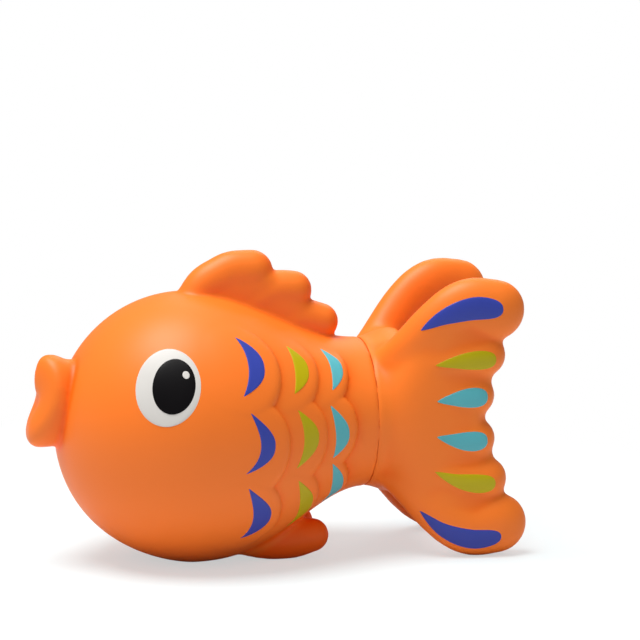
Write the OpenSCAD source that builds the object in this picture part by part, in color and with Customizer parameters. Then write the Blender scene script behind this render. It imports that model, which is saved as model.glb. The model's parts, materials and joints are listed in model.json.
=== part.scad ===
// Squeaky bath toy: a hollow soft vinyl goldfish with a swivelling twin-fan tail.
// Millimetres. +Z is up, the mouth looks along -X, and the origin is the middle of the
// flat pad under the belly. The fish's own left side is -Y.

/* [Head and body] */
// Length of the head, from the nose to the widest ring
head_l = 37; // [32:1:44]
// Length of the body, from the widest ring to the tail seam
body_l = 50; // [46:1:60]
// Height of the body at its widest ring, before the belly is cut flat
body_h = 76; // [72:1:84]
// Width of the body at its widest ring
body_w = 71; // [64:1:80]
// Diameter of the neck where the tail joins
neck_d = 42; // [38:1:46]
// Height of the neck's axis above the floor
neck_z = 39; // [37:0.5:42]
// Wall of the moulded vinyl
wall = 2; // [1.5:0.25:3]
// Depth by which the belly is cut flat to stand on
pad_cut = 1; // [0.5:0.25:1.5]

/* [Lips] */
// Height of the middle of the lips above the floor
lip_z = 46.1; // [44:0.5:49]
// Height of the pair of lips
lip_h = 25.8; // [22:1:30]
// Width of the pair of lips
lip_w = 17; // [14:1:22]
// How far the lips stand out in front of the nose
lip_out = 7; // [5:0.2:9]

/* [Fins] */
// Height of the back fin's front lobe above the back under its tip
fin_rise = 15.7; // [12:0.1:17]
// Thickness of the back fin
fin_t = 9.6; // [7:0.2:12]
// Distance of each belly fin from the middle of the fish
belly_fin_y = 9; // [7:0.5:12]
// Thickness of each belly fin
belly_fin_t = 8.4; // [6:0.2:10]

/* [Scales] */
// How far the rear edge of a moulded scale stands proud
scale_rise = 1; // [0.5:0.1:1.4]

/* [Tail] */
// Distance of each tail fan's middle from the middle of the fish
fan_y = 17; // [16:0.5:20]
// Thickness of a finger of the tail fan
fan_t = 10.8; // [9:0.2:12]
// Length of the tail, from the seam to its longest finger's tip
tail_l = 42.8; // [38:0.2:50]
// Diameter of the tail's plug, which turns in the neck
plug_d = 26; // [22:1:28]
// Diameter of the bore through the plug
plug_bore_d = 20; // [14:1:20]
// Diameter of the flange that holds the plug in the neck
flange_d = 33; // [30:1:34]
// Thickness of that flange
flange_t = 2; // [1.5:0.25:3]
// Thickness of the body's end wall at the neck
end_wall = 4; // [3:0.5:6]
// Running gap all round the plug in the neck's bore
swivel_fit = 0.08; // [0.05:0.01:0.1]
// Gap between the tail and the body at the seam, and behind the flange
seam_gap = 0.3; // [0.2:0.05:0.5]

/* [Squeaker] */
// Diameter of the squeaker's tube
squeaker_d = 9; // [8:0.5:10]
// Length of the squeaker from its outer face to its rim
squeaker_l = 8; // [7.6:0.1:9]
// Diameter of the squeaker's outer flange
squeaker_flange_d = 11; // [10.5:0.25:12]
// Wall of the squeaker's tube and floor
squeaker_wall = 0.9; // [0.7:0.1:1.1]
// Diameter of each air hole in the squeaker's floor
air_hole_d = 1; // [0.8:0.1:1.2]
// Height of the moulded boss that holds the squeaker
boss_h = 6; // [5:0.25:6]
// Wall of that boss
boss_wall = 2.6; // [2:0.2:3.5]
// Gap round the squeaker and its inner pieces
seat_fit = 0.05; // [0.03:0.01:0.08]
// Thickness of the reed
reed_t = 0.2; // [0.15:0.05:0.3]
// Width of the reed
reed_w = 2.4; // [2:0.1:2.6]
// Free gap on each side of the reed
reed_gap = 0.3; // [0.3:0.05:0.4]

/* [Paint] */
// Thickness of a layer of paint
paint_t = 0.25; // [0.15:0.05:0.3]
// Gap between a layer of paint and what lies under it
paint_gap = 0.1; // [0.05:0.01:0.15]
// Length of the white of the eye, measured along the fish
eye_l = 16.8; // [14:0.2:20]
// Height of the white of the eye
eye_h = 20.2; // [17:0.2:24]
// Length of the pupil
pupil_l = 11.2; // [9:0.2:13]
// Height of the pupil
pupil_h = 14.4; // [12:0.2:17]
// Diameter of the catchlight
catchlight_d = 2.1; // [1.5:0.1:3]

/* [Hidden] */

// Colours of the vinyl and of the paints
vinyl = "#F58A45";
tail_vinyl = "#F39449";
white_paint = "#ECE9E4";
black_paint = "#171418";
blue_paint = "#4149AE";
green_paint = "#B9B400";
teal_paint = "#55BCC8";
plastic = "#EDEAE0";
reed_plastic = "#C8B68C";

neck_r = neck_d / 2;
head_z = body_h / 2 - pad_cut;

// How soon the back, the belly and the flanks draw in towards the neck
back_ease = 1;
belly_ease = 1.3;
flank_ease = 1.15;

// Sides of the body's rings, and rings in the head and behind it
body_sides = 44;
head_rings = 10;
body_rings = 12;
cavity_sides = 28;
cavity_rings = 7;
nose_cap = 5;

// The body's cross-section is an ellipse at every place x along it. g draws it in,
// for the wall's inner face.
function fade(t, ease) = (1 + cos(180 * pow(t, ease))) / 2;
function rear(x) = min(1, max(0, x) / body_l);
function nose(x, g) = x < 0 ? sqrt(max(0, 1 - pow(x / (head_l - g), 2))) : 1;
function swell(x, ease, half) = neck_r + (half - neck_r) * fade(rear(x), ease);
function axis_z(x) = head_z + (neck_z - head_z) * (1 - fade(rear(x), 1));
function up(x, g = 0) = (swell(x, back_ease, body_h / 2) - g) * nose(x, g);
function down(x, g = 0) = (swell(x, belly_ease, body_h / 2) - g) * nose(x, g);
function half_w(x, g = 0) = (swell(x, flank_ease, body_w / 2) - g) * nose(x, g);
function half_h(x, g = 0) = (up(x, g) + down(x, g)) / 2;
function mid_z(x, g = 0) = axis_z(x) + (up(x, g) - down(x, g)) / 2;
function back_z(x) = axis_z(x) + up(x);

function body_at(x, v, g = 0) = [x, half_w(x, g) * cos(v), mid_z(x, g) + half_h(x, g) * sin(v)];
function unit(v) = v / norm(v);
step = 0.05;
function body_normal(x, v) = unit(cross(
    body_at(x, v + 1) - body_at(x, v - 1),
    body_at(x + step, v) - body_at(x - step, v)
));

// A point that stands lift off the skin, at angle v above the middle of the right side
function on_body(x, v, lift) = body_at(x, v) + lift * body_normal(x, v);
function angle_at(x, z) = asin(max(-1, min(1, (z - mid_z(x)) / half_h(x))));

// A closed solid through a list of rings that all have the same number of points
module loft(rings) {
    sides = len(rings[0]);
    count = len(rings);
    walls = [
        for (i = [0:count - 2], j = [0:sides - 1])
        let (a = i * sides + j, b = i * sides + (j + 1) % sides)
        each [[a, a + sides, b], [b, a + sides, b + sides]]
    ];
    front = [for (j = [0:sides - 1]) j];
    back = [for (j = [sides - 1:-1:0]) (count - 1) * sides + j];
    polyhedron(points = [for (ring = rings) each ring], faces = concat([front, back], walls));
}

function body_ring(x, sides, g) = [for (j = [0:sides - 1]) body_at(x, 360 * j / sides, g)];

module body_solid() {
    head = [
        for (i = [0:head_rings])
        body_ring(-head_l * cos(nose_cap + (90 - nose_cap) * i / head_rings), body_sides, 0)
    ];
    rest = [for (i = [1:body_rings]) body_ring(body_l * i / body_rings, body_sides, 0)];
    loft(concat(head, rest));
}

module body_cavity() {
    cavity_l = body_l - end_wall;
    head = [
        for (i = [0:cavity_rings])
        body_ring(
            -(head_l - wall) * cos(nose_cap + (90 - nose_cap) * i / cavity_rings),
            cavity_sides,
            wall
        )
    ];
    rest = [for (i = [1:cavity_rings]) body_ring(cavity_l * i / cavity_rings, cavity_sides, wall)];
    loft(concat(head, rest));
}

// Lips: a pout that swells out of the head and turns in to a shallow mouth.
// Each step is [share of the full width and height, share of the way out of the nose].
lip_steps = [
    [0.8, -1],
    [0.92, 0.05],
    [0.97, 0.24],
    [1, 0.48],
    [0.975, 0.72],
    [0.86, 0.92],
    [0.68, 1],
    [0.46, 0.99],
    [0.3, 0.93],
    [0.15, 0.84]
];
lip_sides = 24;
lip_root = 2;
// The lower lip stands further out than the upper lip. The corners lie back, and they are
// some degrees above the middle.
lip_lean = 1.8;
lip_corner = 4.4;
lip_waist = 14;

module lips() {
    loft([
        for (s = lip_steps)
        [
            for (j = [0:lip_sides - 1])
            let (
                a = 360 * j / lip_sides,
                corner = pow(sin(acos(sin(a)) + lip_waist), 2),
                back = (lip_lean * sin(a) + lip_corner * corner) * s[0] * max(0, s[1])
            )
            [
                -head_l + lip_root - (lip_out + lip_root) * s[1] + back,
                -lip_w / 2 * s[0] * cos(a),
                lip_z + lip_h / 2 * s[0] * sin(a)
            ]
        ]
    ]);
}

// A finger of a fin runs through a list of stations [x, z, half height, y, half thickness]
// along a smooth curve, and ends round
function smooth(a, b, c, d, t) =
    ((2 * b) + (c - a) * t + (2 * a - 5 * b + 4 * c - d) * t * t
        + (3 * b - a - 3 * c + d) * t * t * t) / 2;
function along(p, u) =
    let (n = len(p) - 1, i = min(n - 1, max(0, floor(u))))
    smooth(p[max(0, i - 1)], p[i], p[i + 1], p[min(n, i + 2)], u - i);
function heading(p, u) =
    let (
        a = along(p, max(0, u - step)),
        b = along(p, min(len(p) - 1, u + step)),
        d = unit([b[0] - a[0], b[1] - a[1]])
    ) d;

// The point at angle a round the finger, 90 degrees being its outer face
function on_finger(p, u, a, lift, reach = 0) =
    let (c = along(p, u), d = heading(p, u), k = cos(reach), h = (c[2] + lift) * k * cos(a))
    [
        c[0] - d[1] * h + d[0] * c[2] * sin(reach),
        c[3] + (c[4] + lift) * k * sin(a),
        c[1] + d[0] * h + d[1] * c[2] * sin(reach)
    ];

finger_sides = 16;
finger_steps = 2;
finger_ends = [28, 54, 76];

module finger(p, sides = finger_sides) {
    last = len(p) - 1;
    run = [
        for (i = [0:last * finger_steps])
        [
            for (j = [0:sides - 1])
            on_finger(p, i / finger_steps, -360 * j / sides, 0)
        ]
    ];
    tip = [
        for (reach = finger_ends)
        [for (j = [0:sides - 1]) on_finger(p, last, -360 * j / sides, 0, reach)]
    ];
    loft(concat(run, tip));
}

// Back fin: three rounded fingers, each lower than the one in front
fin_root = 5.5;
function fin_station(x, rise, h) = [x, back_z(x) + rise, h, 0, fin_t / 2];
back_fin_fingers = [
    [
        fin_station(1.5, fin_rise - 20.6, 4.5),
        fin_station(5, fin_rise - 14.2, 5.5),
        fin_station(9.3, fin_rise - 10.9, 6),
        fin_station(13.4, fin_rise - 8.4, 6.2),
        fin_station(18.6, fin_rise - 6.2, 6.2)
    ],
    [
        fin_station(12, -fin_root, 6),
        fin_station(23.5, fin_rise - 9.9, 5.6),
        fin_station(30.4, fin_rise - 6.4, 5.5)
    ],
    [
        fin_station(23, -fin_root, 6),
        fin_station(31, fin_rise - 14, 5.6),
        fin_station(38.3, fin_rise - 12.5, 5.2)
    ]
];

// Belly fins: a pair of smooth lobes that lie back along the floor
belly_fin_h = 5.6;
belly_fin_z = 5.4;
module belly_fin(side) {
    finger([
        [10, belly_fin_z + 3, belly_fin_h, side * belly_fin_y, belly_fin_t / 2],
        [20, belly_fin_z + 0.3, belly_fin_h, side * belly_fin_y, belly_fin_t / 2],
        [28, belly_fin_z, belly_fin_h, side * belly_fin_y, belly_fin_t / 2],
        [33.4, belly_fin_z + 0.9, belly_fin_h - 0.8, side * belly_fin_y, belly_fin_t / 2]
    ]);
}

// Scales stand in three columns of three a side. Each column is
// [x of its rear edge, radius along the body, angle between rows].
scale_columns = [[0.424 * body_l, 10.5, 35], [0.664 * body_l, 9.5, 39], [0.86 * body_l, 8.4, 42]];
scale_rows = [-1, 0, 1];
// A scale is wider than the space between rows, and each row lies ahead of the row below it
scale_overlap = 1.22;
scale_lean = 0.6;
function scale_rear(column, row) = column[0] - scale_lean * row;
scale_sides = 18;
scale_sink = 0.6;
// Each ring of a scale is [share of its radius, 1 on the raised face or 0 in the skin]
scale_shape = [[1, 0], [0.98, 1], [0.78, 1], [0.48, 1], [0.1, 1]];
// A scale rises out of the skin from its front edge to its rear edge
function scale_lift(column, row, x) =
    let (share = (x - scale_rear(column, row) + 2 * column[1]) / (2 * column[1]))
    (scale_rise + scale_sink) * pow(max(0, min(1, share)), 1.4) - scale_sink;

module moulded_scale(column, row) {
    radius = column[1];
    loft([
        for (s = scale_shape)
        [
            for (j = [0:scale_sides - 1])
            let (
                a = -360 * j / scale_sides,
                x = scale_rear(column, row) - radius + radius * s[0] * cos(a),
                v = row * column[2] + column[2] / 2 * scale_overlap * s[0] * sin(a)
            )
            on_body(x, v, s[1] == 0 ? -scale_sink : scale_lift(column, row, x))
        ]
    ]);
}

module both_sides() {
    children();
    mirror([0, 1, 0]) children();
}

module squeaker_boss() {
    cylinder(h = boss_h, r = squeaker_d / 2 + boss_wall, $fn = 36);
}

// All that is in here keeps its size, and melts into one surface
module melted() {
    resize([0, 0, 0]) children();
}

module body_skin() {
    melted() {
        body_solid();
        lips();
        for (p = back_fin_fingers) finger(p);
        for (side = [-1, 1]) belly_fin(side);
        both_sides() for (c = scale_columns, r = scale_rows) moulded_scale(c, r);
    }
}

module body_hollow() {
    melted() difference() {
        body_cavity();
        squeaker_boss();
    }
}

// The neck's bore lies along the body's axis, through the end wall
module along_neck(x) {
    translate([x, 0, neck_z]) rotate([0, 90, 0]) children();
}

cut_size = 300;

module body_shell() {
    color(vinyl) difference() {
        body_skin();
        body_hollow();
        along_neck(body_l - end_wall - 1)
            cylinder(h = end_wall + 2, r = plug_d / 2 + swivel_fit, $fn = 96);
        translate([0, 0, -2 * pad_cut])
            cylinder(h = boss_h + 3 * pad_cut, r = squeaker_d / 2 + seat_fit, $fn = 64);
        translate([0, 0, -2 * pad_cut])
            cylinder(
                h = 2 * pad_cut + squeaker_wall + seat_fit,
                r = squeaker_flange_d / 2 + seat_fit,
                $fn = 64
            );
        translate([0, 0, -cut_size / 2]) cube(cut_size, center = true);
    }
}

// Tail: a short hub that splits into two fans of six fingers each. Stations give x behind
// the seam and z above the neck's axis; tip_scale stretches the fingers with the tail.
tip_scale = tail_l / 42.8;
function fan_station(x, z, h, share, t) =
    [body_l + x * tip_scale, neck_z + z, h, fan_y * share, fan_t / 2 * t];
function fan_fingers(way) = [
    [
        fan_station(5, 10.4 * way, 5, 0.66, 0.88),
        fan_station(10.6, 19 * way, 6.5, 0.86, 0.95),
        fan_station(18.5, 26.2 * way, 7.8, 0.98, 1),
        fan_station(26, 30.1 * way, 8.5, 1.06, 1.02),
        fan_station(34.2, 30.5 * way, 8.2, 1.12, 0.98)
    ],
    [
        fan_station(5, 7 * way, 5, 0.78, 0.9),
        fan_station(14, 13.6 * way, 6, 0.94, 1),
        fan_station(24, 16.8 * way, 6.2, 1.02, 1),
        fan_station(31.4, 17.5 * way, 6, 1.06, 0.98)
    ],
    [
        fan_station(5, 3 * way, 4.6, 0.8, 0.9),
        fan_station(14, 4.8 * way, 5.4, 0.94, 1),
        fan_station(22, 5.7 * way, 5.8, 1, 1),
        fan_station(28.5, 6.1 * way, 5.8, 1.02, 0.98)
    ]
];

// The palm of a fan runs smoothly from the hub out to the fingers. Each ring is
// [x behind the seam, share of fan_y to its middle, half thickness, half height].
palm_rings = [
    [0, 0.54, 10.5, 15.6],
    [4, 0.64, 10.2, 18],
    [9, 0.8, 8.4, 21.8],
    [15, 0.95, 6, 25.6],
    [22, 1.03, 4.4, 28],
    [29, 1.08, 3.4, 26]
];
palm_sides = 24;
module palm(rings, sides, shrink, start) {
    loft([
        for (r = rings)
        [
            for (j = [0:sides - 1])
            let (a = 360 * j / sides)
            [
                body_l + max(start, r[0] * tip_scale),
                fan_y * r[1] + (r[2] - shrink) * cos(a),
                neck_z + (r[3] - shrink) * sin(a)
            ]
        ]
    ]);
}

// A web as thin as the valleys joins the fingers of a fan
web_t = 6;
web_outline = [[16, 0], [16, 22], [24, 30.5], [33, 30], [36, 22], [33.2, 11.5], [31, 0]];
web_out = 1;
module fan_web() {
    upper = [for (p = web_outline) [body_l + p[0] * tip_scale, p[1]]];
    lower = [for (i = [len(upper) - 2:-1:1]) [upper[i][0], -upper[i][1]]];
    translate([0, fan_y + web_out + web_t / 2, neck_z])
        rotate([90, 0, 0]) linear_extrude(web_t) polygon(concat(upper, lower));
}

// Rings of the hub: [x behind the seam, half width, half height]
hub_rings = [
    [0, 21, 21],
    [2.5, 21, 21.4],
    [5, 21, 22.2],
    [8, 19.6, 21.6],
    [10.5, 16, 18],
    [12.5, 10, 11],
    [13.2, 5, 5]
];
hub_sides = 44;
hub_grow = neck_r / 21;
module hub() {
    loft([
        for (r = hub_rings)
        [
            for (j = [0:hub_sides - 1])
            let (a = 360 * j / hub_sides)
            [
                body_l + r[0],
                r[1] * hub_grow * cos(a),
                neck_z + r[2] * hub_grow * sin(a)
            ]
        ]
    ]);
}

module tail_skin() {
    melted() difference() {
        union() {
            hub();
            both_sides() {
                palm(palm_rings, palm_sides, 0, 0);
                fan_web();
                for (way = [-1, 1], p = fan_fingers(way)) finger(p);
            }
        }
        translate([body_l + seam_gap - cut_size / 2, 0, 0]) cube(cut_size, center = true);
    }
}

// The hub, the palms and the outer fingers are hollow, with the same wall as the body
hollow_sides = 10;
hollow_start = seam_gap + wall;
hollow_palm = [for (i = [0:4]) palm_rings[i]];
// The palms' hollows start behind the hub's, and the hub's hollow has this length
palm_start = hollow_start + 1;
hub_hollow_l = 6;
function thinned(p) = [for (s = p) [s[0], s[1], s[2] - wall, s[3], s[4] - wall]];
module tail_hollow() {
    melted() {
        both_sides() {
            palm(hollow_palm, hollow_sides, wall, palm_start);
            for (way = [-1, 1]) finger(thinned(fan_fingers(way)[0]), hollow_sides);
        }
        along_neck(body_l + hollow_start) cylinder(h = hub_hollow_l, r = neck_r - wall, $fn = 32);
    }
}

// The plug is turned about the neck's axis: a neck, and a flange behind the end wall
plug_root = 3;
// The plug's bore opens into the hub's hollow
plug_bore_l = end_wall + flange_t + hollow_start + 4;
module tail_plug() {
    flange_x = end_wall + seam_gap;
    along_neck(body_l) rotate_extrude($fn = 96) polygon([
        [plug_bore_d / 2, -flange_x - flange_t],
        [flange_d / 2 - 0.6, -flange_x - flange_t],
        [flange_d / 2, -flange_x - flange_t + 0.6],
        [flange_d / 2, -flange_x],
        [plug_d / 2, -flange_x],
        [plug_d / 2, seam_gap + plug_root],
        [plug_bore_d / 2, seam_gap + plug_root]
    ]);
}

module tail_shell() {
    color(tail_vinyl) difference() {
        union() {
            tail_skin();
            tail_plug();
        }
        tail_hollow();
        along_neck(body_l - end_wall - flange_t - 1)
            cylinder(h = plug_bore_l, r = plug_bore_d / 2, $fn = 96);
    }
}

// Squeaker: a tube pressed up into the belly's boss, with a flange below and a snap rim above
squeaker_r = squeaker_d / 2;
squeaker_inner_r = squeaker_r - squeaker_wall;
rim_z = boss_h + seat_fit;
rim_out = 0.5;
air_holes = 4;
air_hole_ring_r = 2.3;

module squeaker_housing() {
    color(plastic) difference() {
        rotate_extrude($fn = 64) polygon([
            [0, 0],
            [squeaker_flange_d / 2, 0],
            [squeaker_flange_d / 2, squeaker_wall],
            [squeaker_r, squeaker_wall],
            [squeaker_r, rim_z],
            [squeaker_r + rim_out, rim_z],
            [squeaker_r, squeaker_l],
            [squeaker_inner_r, squeaker_l],
            [squeaker_inner_r, squeaker_wall],
            [0, squeaker_wall]
        ]);
        for (i = [0:air_holes - 1])
            rotate(360 * i / air_holes) translate([air_hole_ring_r, 0, -1])
                cylinder(h = squeaker_wall + 2, d = air_hole_d, $fn = 24);
    }
}

// Reed holder: a disc raised on a ring above the squeaker's floor, so that air reaches its
// hole, with a half-round trough standing on it
holder_z = squeaker_wall + seat_fit;
holder_r = squeaker_inner_r - seat_fit;
air_gap = 0.6;
disc_t = 1.5;
disc_z = holder_z + air_gap;
disc_top = disc_z + disc_t;
reed_hole_r = 1.6;
trough_wall = 0.6;
trough_top = squeaker_l - 0.6;

module reed_holder() {
    color(plastic) difference() {
        union() {
            translate([0, 0, holder_z])
                cylinder(h = disc_top - holder_z, r = holder_r, $fn = 64);
            intersection() {
                translate([0, 0, disc_z])
                    cylinder(h = trough_top - disc_z, r = reed_hole_r + trough_wall, $fn = 48);
                translate([-5, -10, disc_z]) cube([10, 10, 20]);
            }
        }
        translate([0, 0, holder_z - 1])
            cylinder(h = air_gap + 1, r = holder_r - trough_wall, $fn = 64);
        translate([0, 0, holder_z])
            cylinder(h = trough_top - holder_z - trough_wall, r = reed_hole_r, $fn = 48);
    }
}

// Reed: a thin strip over the trough, which flaps about its root in the disc
reed_y = reed_gap;
reed_root_z = disc_z + 0.3;
reed_top_z = trough_top - 0.2;
module squeaker_reed() {
    color(reed_plastic) translate([-reed_w / 2, reed_y, reed_root_z])
        cube([reed_w, reed_t, reed_top_z - reed_root_z]);
}

// Reed clamp: a half-round plug beside the reed's root
module reed_clamp() {
    clamp_y = reed_y + reed_t + reed_gap;
    color(plastic) intersection() {
        translate([0, 0, disc_z])
            cylinder(h = disc_t, r = reed_hole_r - seat_fit, $fn = 48);
        translate([-5, clamp_y, disc_z]) cube([10, 10, disc_t]);
    }
}

// Eye: ovals of paint on the head. Each is a centre [x, z] and a size, and leans back at
// the top.
eye_centre = [-11.3, 53.4];
pupil_centre = [-9.9, 53.9];
catchlight_centre = [-6.4, 57];
eye_lean = 1.6;
pupil_lean = 1.2;
oval_rings = [0.08, 0.55, 1];

module eye_oval(centre, length, height, lean, low, sides) {
    rise = [for (r = oval_rings) [r, low]];
    fall = [for (i = [len(oval_rings) - 1:-1:0]) [oval_rings[i], low + paint_t]];
    loft([
        for (s = concat(rise, fall))
        [
            for (j = [0:sides - 1])
            let (
                a = -360 * j / sides,
                x = centre[0] + s[0] * (length / 2 * cos(a) + lean * sin(a)),
                z = centre[1] + s[0] * height / 2 * sin(a)
            )
            on_body(x, angle_at(x, z), s[1])
        ]
    ]);
}

layer = paint_t + paint_gap;
module eye_white() {
    color(white_paint) eye_oval(eye_centre, eye_l, eye_h, eye_lean, paint_gap, 28);
}
module pupil() {
    color(black_paint) eye_oval(pupil_centre, pupil_l, pupil_h, pupil_lean, paint_gap + layer, 24);
}
module catchlight() {
    color(white_paint)
        eye_oval(catchlight_centre, catchlight_d, catchlight_d, 0, paint_gap + 2 * layer, 14);
}

// Crescents of paint, one on each scale. Each colour is [distance of its tips ahead of the
// scale's rear edge, bulge of its rear edge, bulge of its front edge, half its angle].
blue_crescent = [11.7, 7.7, 3, 13.6];
green_crescent = [8.5, 6, 1.8, 15];
teal_crescent = [7.2, 4.7, 1, 16.6];
crescent_steps = 8;
tip_w = 0.25;

module crescent(shape, column, row) {
    loft([
        for (i = [-crescent_steps / 2:crescent_steps / 2])
        let (
            s = 2 * i / crescent_steps,
            v = row * column[2] + s * shape[3],
            bow = 1 - s * s,
            tips = scale_rear(column, row) - shape[0],
            front = tips + shape[2] * bow,
            back = tips + shape[1] * bow + tip_w,
            across = [front, (front + back) / 2, back],
            low = [for (x = across) max(0, scale_lift(column, row, x)) + paint_gap]
        )
        concat(
            [for (k = [0:2]) on_body(across[k], v, low[k])],
            [for (k = [2:-1:0]) on_body(across[k], v, low[k] + paint_t)]
        )
    ]);
}

module crescents(shape, column) {
    melted() for (row = scale_rows) crescent(shape, column, row);
}
module blue_scale_marks() {
    color(blue_paint) crescents(blue_crescent, scale_columns[0]);
}
module green_scale_marks() {
    color(green_paint) crescents(green_crescent, scale_columns[1]);
}
module teal_scale_marks() {
    color(teal_paint) crescents(teal_crescent, scale_columns[2]);
}

// Drops of paint, one on each finger of the tail. Each is [start, end, half width, turn], the
// first two as places along the finger's stations, and the last the angle by which it lies
// towards the fan's outer edge.
blue_drop = [1.3, 4, 2.95, 22];
green_drop = [1.2, 2.98, 2.7, 5];
teal_drop = [1.46, 2.98, 2.8, 0];
drop_steps = 9;
drop_peak = 0.72;

function drop_share(q) = q < drop_peak
    ? sin(90 * q / drop_peak)
    : sqrt(max(0, 1 - pow((q - drop_peak) / (1 - drop_peak), 2)));

module drop(p, shape, way) {
    loft([
        for (i = [0:drop_steps])
        let (
            q = i / drop_steps,
            u = shape[0] + (shape[1] - shape[0]) * q,
            half = max(tip_w, shape[2] * drop_share(q)),
            spread = asin(half / along(p, u)[2]),
            face = 90 - way * shape[3]
        )
        concat(
            [for (k = [-1:0.5:1]) on_finger(p, u, face + k * spread, paint_gap)],
            [for (k = [1:-0.5:-1]) on_finger(p, u, face + k * spread, paint_gap + paint_t)]
        )
    ]);
}

module drops(shape, index) {
    melted() for (way = [-1, 1]) drop(fan_fingers(way)[index], shape, way);
}
module blue_tail_drops() {
    color(blue_paint) drops(blue_drop, 0);
}
module green_tail_drops() {
    color(green_paint) drops(green_drop, 1);
}
module teal_tail_drops() {
    color(teal_paint) drops(teal_drop, 2);
}

module left() {
    mirror([0, 1, 0]) children();
}

body_shell();
tail_shell();
squeaker_housing();
reed_holder();
squeaker_reed();
reed_clamp();
left() eye_white();  // eye_white_left
eye_white();  // eye_white_right
left() pupil();  // pupil_left
pupil();  // pupil_right
left() catchlight();  // catchlight_left
catchlight();  // catchlight_right
left() blue_scale_marks();  // blue_scale_marks_left
blue_scale_marks();  // blue_scale_marks_right
left() green_scale_marks();  // green_scale_marks_left
green_scale_marks();  // green_scale_marks_right
left() teal_scale_marks();  // teal_scale_marks_left
teal_scale_marks();  // teal_scale_marks_right
left() blue_tail_drops();  // blue_tail_drops_left
blue_tail_drops();  // blue_tail_drops_right
left() green_tail_drops();  // green_tail_drops_left
green_tail_drops();  // green_tail_drops_right
left() teal_tail_drops();  // teal_tail_drops_left
teal_tail_drops();  // teal_tail_drops_right
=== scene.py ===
# A squeaky bath toy: a hollow goldfish of soft orange vinyl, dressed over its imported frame.
# Metres, +Z up, the mouth along -X, the fish's own left side along -Y, the floor at z = 0.
import json
import math

import bpy
import bmesh
import numpy
from mathutils import Matrix, Vector
from mathutils.bvhtree import BVHTree


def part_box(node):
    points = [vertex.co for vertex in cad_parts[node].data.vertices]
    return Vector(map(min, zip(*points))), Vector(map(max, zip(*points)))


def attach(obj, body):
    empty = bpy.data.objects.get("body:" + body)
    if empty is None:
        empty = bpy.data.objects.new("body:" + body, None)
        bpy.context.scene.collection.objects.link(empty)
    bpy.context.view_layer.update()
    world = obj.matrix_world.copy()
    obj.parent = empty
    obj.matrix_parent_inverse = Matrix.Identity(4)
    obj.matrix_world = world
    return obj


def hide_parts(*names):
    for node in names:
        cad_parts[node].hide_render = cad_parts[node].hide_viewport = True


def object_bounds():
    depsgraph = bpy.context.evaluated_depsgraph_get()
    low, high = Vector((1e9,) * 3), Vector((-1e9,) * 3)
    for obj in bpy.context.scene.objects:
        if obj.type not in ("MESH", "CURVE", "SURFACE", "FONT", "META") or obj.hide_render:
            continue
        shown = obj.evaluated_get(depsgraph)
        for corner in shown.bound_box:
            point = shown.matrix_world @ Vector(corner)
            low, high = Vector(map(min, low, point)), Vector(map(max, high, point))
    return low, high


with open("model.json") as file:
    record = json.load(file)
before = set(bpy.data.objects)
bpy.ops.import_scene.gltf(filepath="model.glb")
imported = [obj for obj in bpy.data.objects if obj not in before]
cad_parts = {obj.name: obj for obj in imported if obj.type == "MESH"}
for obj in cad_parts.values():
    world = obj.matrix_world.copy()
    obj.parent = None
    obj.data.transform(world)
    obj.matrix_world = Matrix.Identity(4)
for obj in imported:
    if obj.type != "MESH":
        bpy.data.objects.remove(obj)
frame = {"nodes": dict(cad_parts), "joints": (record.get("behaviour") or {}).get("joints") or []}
cad_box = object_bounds()
mm = 0.001

# Camera and light: a long lens a little ahead of the toy's left side and a little above it.
# One big soft lamp stands high over the head, and pale walls light the rest.
view_turn = math.radians(-14.3)
view_rise = math.radians(9.8)
view_distance = 1.1
picture_width = 0.1795
aim_right, aim_up = 0.0372, 0.0661

to_right = Vector((math.cos(view_turn), math.sin(view_turn), 0))
to_camera = Vector(
    (
        math.sin(view_turn) * math.cos(view_rise),
        -math.cos(view_turn) * math.cos(view_rise),
        math.sin(view_rise),
    )
)
to_top = to_camera.cross(to_right)
camera_place = to_right * aim_right + to_top * aim_up + to_camera * view_distance
bpy.ops.object.camera_add(location=camera_place)
camera = bpy.context.object
camera.rotation_euler = Matrix((to_right, to_top, to_camera)).transposed().to_euler()
camera.data.lens = camera.data.sensor_width * view_distance / picture_width
bpy.context.scene.camera = camera
bpy.context.scene.view_settings.view_transform = "Standard"

key_place, key_power, key_colour = (-0.22, -0.06, 0.95), 11.4, (1.0, 0.99, 0.98)
back_place, back_power, back_colour = (0.35, 0.6, 0.6), 1.5, (1.0, 1.0, 1.0)
lamp_size = 0.6
wall_level = 0.265
toy_middle = (cad_box[0] + cad_box[1]) / 2


def soft_lamp(name, place, power, colour):
    """A round lamp that faces the middle of the toy."""
    bpy.ops.object.light_add(type="AREA", location=place)
    lamp = bpy.context.object
    lamp.name = name
    lamp.data.shape = "DISK"
    lamp.data.size = lamp_size
    lamp.data.energy = power
    lamp.data.color = colour
    lamp.rotation_euler = (Vector(place) - toy_middle).to_track_quat("Z", "Y").to_euler()


soft_lamp("key_lamp", key_place, key_power, key_colour)
soft_lamp("back_lamp", back_place, back_power, back_colour)

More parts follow.
